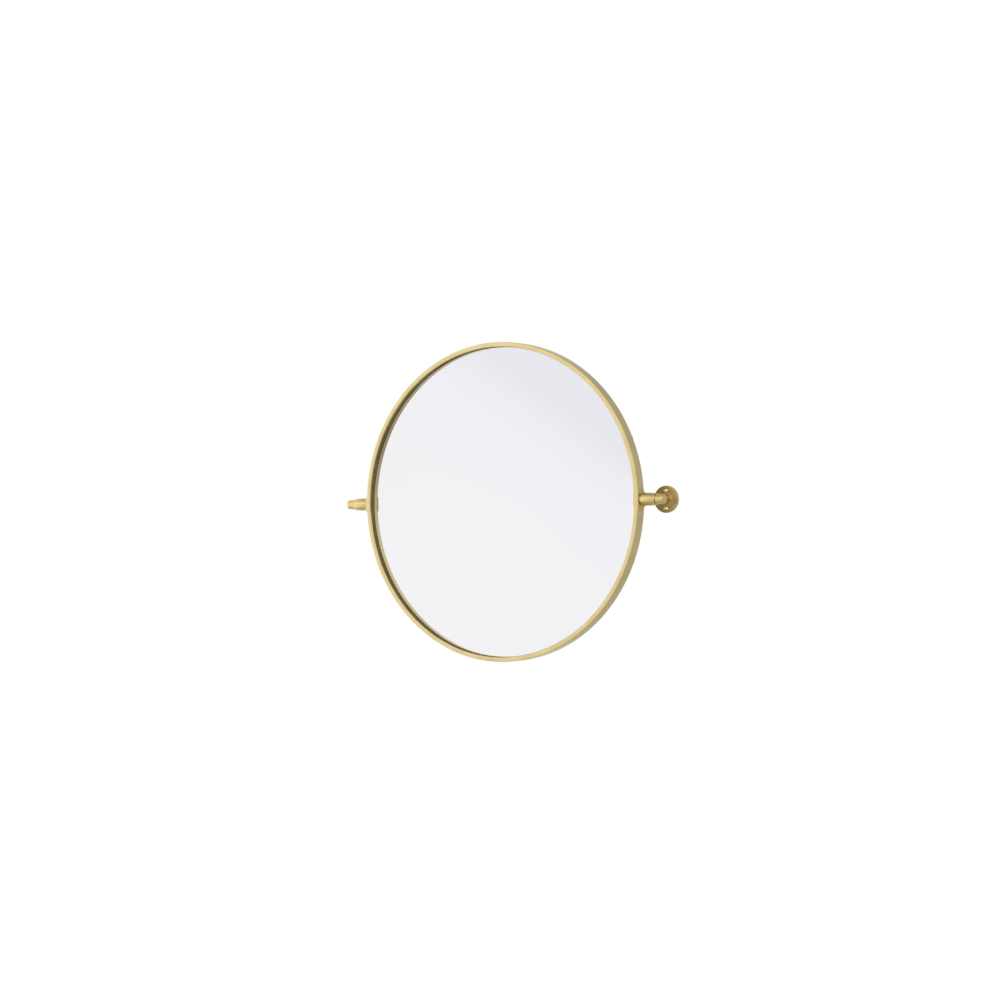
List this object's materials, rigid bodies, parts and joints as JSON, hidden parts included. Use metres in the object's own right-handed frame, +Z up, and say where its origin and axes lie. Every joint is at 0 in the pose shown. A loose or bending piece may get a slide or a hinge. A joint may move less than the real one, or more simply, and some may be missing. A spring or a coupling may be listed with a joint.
{
  "type": "pivot wall mirror",
  "caption": "Round wall mirror in a deep brass ring that tilts about a horizontal axis between two round wall brackets, held by friction and clamping knobs.",
  "frame": {"origin": "centre of the four wall screw holes, on the wall plane that both flanges rest on", "axes": "+X to the right along the tilt axis's direction, +Y into the wall, +Z up; the mirror faces -Y"},
  "size_m": [0.7096, 0.0813, 0.61],
  "materials": {
    "satin_brass": "satin brushed, clear lacquered",
    "screw_brass": "plain turned",
    "mirror_glass": "silvered float glass",
    "backing_board": "natural hardboard",
    "black_foam": "matt foam tape",
    "zinc_steel": "bright zinc plated",
    "spring_steel": "oiled spring steel",
    "white_nylon": "moulded nylon"
  },
  "bodies": {
    "wall_brackets": {"left_flange": "satin_brass", "left_post": "satin_brass", "left_post_screw": "zinc_steel", "left_hub": "satin_brass", "left_bushes": "white_nylon", "right_flange": "satin_brass", "right_post": "satin_brass", "right_post_screw": "zinc_steel", "right_hub": "satin_brass", "right_bushes": "white_nylon"},
    "mirror": {"mirror_frame": "satin_brass", "glass_gasket": "black_foam", "mirror_glass": "mirror_glass", "backing_board": "backing_board", "offset_clips": "zinc_steel", "clip_screws": "zinc_steel", "left_saddle": "satin_brass", "left_saddle_screws": "screw_brass", "left_pivot_stud": "zinc_steel", "left_friction_washer": "white_nylon", "right_saddle": "satin_brass", "right_saddle_screws": "screw_brass", "right_pivot_stud": "zinc_steel", "right_friction_washer": "white_nylon"},
    "left_washer": {"left_spring_washer": "spring_steel"},
    "right_washer": {"right_spring_washer": "spring_steel"},
    "left_knob": {"left_knob": "satin_brass"},
    "right_knob": {"right_knob": "satin_brass"}
  },
  "joints": [
    {"name": "mirror_tilt", "type": "hinge", "parent": "wall_brackets", "child": "mirror", "pos_m": [0, -0.068, 0], "axis": [1, 0, 0], "range_deg": [-11, 11]},
    {"name": "left_knob_travel", "type": "slide", "parent": "mirror", "child": "left_washer", "axis": [-1, 0, 0], "range_m": [0, 0.001]},
    {"name": "left_knob_turn", "type": "hinge", "parent": "left_washer", "child": "left_knob", "pos_m": [-0.3385, -0.068, 0], "axis": [-1, 0, 0], "range_deg": [0, 360]},
    {"name": "right_knob_travel", "type": "slide", "parent": "mirror", "child": "right_washer", "axis": [1, 0, 0], "range_m": [0, 0.001]},
    {"name": "right_knob_turn", "type": "hinge", "parent": "right_washer", "child": "right_knob", "pos_m": [0.3385, -0.068, 0], "axis": [1, 0, 0], "range_deg": [0, 360]}
  ],
  "couplings": [
    {"joint": "left_knob_turn", "follows": "left_knob_travel", "rad_per_m": 6283.2},
    {"joint": "right_knob_turn", "follows": "right_knob_travel", "rad_per_m": 6283.2}
  ]
}
